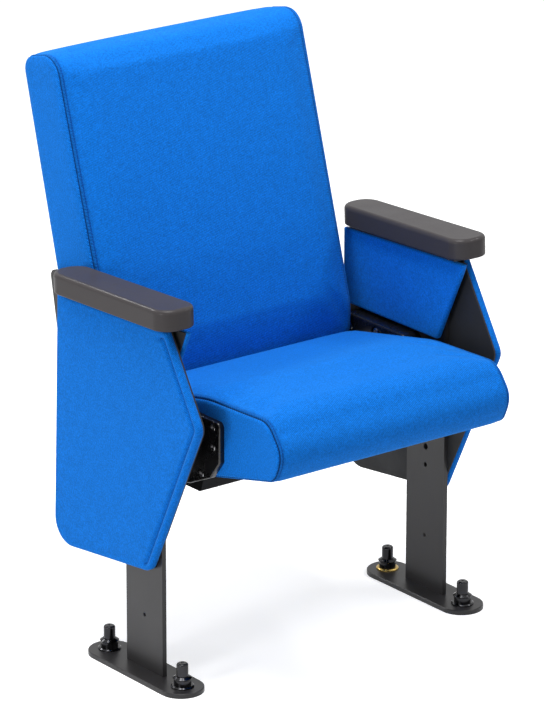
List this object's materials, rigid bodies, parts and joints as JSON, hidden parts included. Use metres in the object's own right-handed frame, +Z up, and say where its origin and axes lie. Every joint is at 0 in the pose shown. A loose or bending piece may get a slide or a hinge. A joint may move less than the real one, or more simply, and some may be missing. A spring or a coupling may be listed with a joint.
{
  "type": "tip-up auditorium seat",
  "caption": "Upholstered tip-up auditorium seat with a high leaning backrest, padded side panels and armrests, on two flat-bar legs with oval floor plates and anchors.",
  "frame": {"origin": "on the floor, midway between the four floor anchors", "axes": "+Z up; the sitter faces -Y; +X to the right when looking at the seat from in front"},
  "size_m": [0.6594, 0.6652, 0.9473],
  "materials": {
    "blue_fabric": "plain flat-woven upholstery fabric",
    "black_steel": "satin powder coat",
    "anchor_steel": "black oxide, slightly oily",
    "yellow_zinc": "yellow passivated zinc",
    "arm_plastic": "satin, fine-grained",
    "black_plastic": "satin moulding",
    "black_board": "matt",
    "plywood": "raw plywood",
    "dark_screws": "blackened steel",
    "bright_steel": "zinc plated",
    "nylon": "natural nylon",
    "stop_rubber": "matt"
  },
  "bodies": {
    "stand": {"anchor_nuts": "anchor_steel", "anchor_studs": "anchor_steel", "anchor_washers": "anchor_steel", "arm_screws": "dark_screws", "back_bolts": "dark_screws", "back_cushion": "blue_fabric", "back_frame": "black_steel", "back_rear_panel": "blue_fabric", "back_spacers": "black_steel", "bracket_bolts": "dark_screws", "bracket_spacers": "black_steel", "housing_screws": "dark_screws", "left_arm_rail": "black_steel", "left_armrest": "arm_plastic", "left_back_bracket": "black_steel", "left_foot_plate": "black_steel", "left_hinge_housing": "black_plastic", "left_leg": "black_steel", "left_outer_panel": "blue_fabric", "left_panel_liner": "black_board", "left_pivot_pin": "bright_steel", "left_side_frame": "black_steel", "left_trim_board": "black_board", "left_trim_pad": "blue_fabric", "panel_screws": "dark_screws", "right_arm_rail": "black_steel", "right_armrest": "arm_plastic", "right_back_bracket": "black_steel", "right_foot_plate": "black_steel", "right_hinge_housing": "black_plastic", "right_leg": "black_steel", "right_outer_panel": "blue_fabric", "right_panel_liner": "black_board", "right_pivot_pin": "bright_steel", "right_side_frame": "black_steel", "right_trim_board": "black_board", "right_trim_pad": "blue_fabric", "stop_pins": "black_steel", "stop_sleeves": "stop_rubber", "yellow_washer": "yellow_zinc"},
    "seat": {"seat_cushion": "blue_fabric", "seat_board": "plywood", "seat_pan": "black_plastic", "seat_tube": "bright_steel", "cover_screws": "dark_screws", "pan_screws": "dark_screws", "left_seat_cover": "black_plastic", "right_seat_cover": "black_plastic", "left_seat_arm": "black_steel", "right_seat_arm": "black_steel", "left_bush": "nylon", "right_bush": "nylon", "left_return_spring": "bright_steel", "right_return_spring": "bright_steel"}
  },
  "joints": [
    {"name": "seat_tip", "type": "hinge", "parent": "stand", "child": "seat", "pos_m": [0, 0.06, 0.37], "axis": [-1, 0, 0], "range_deg": [0, 70]}
  ]
}
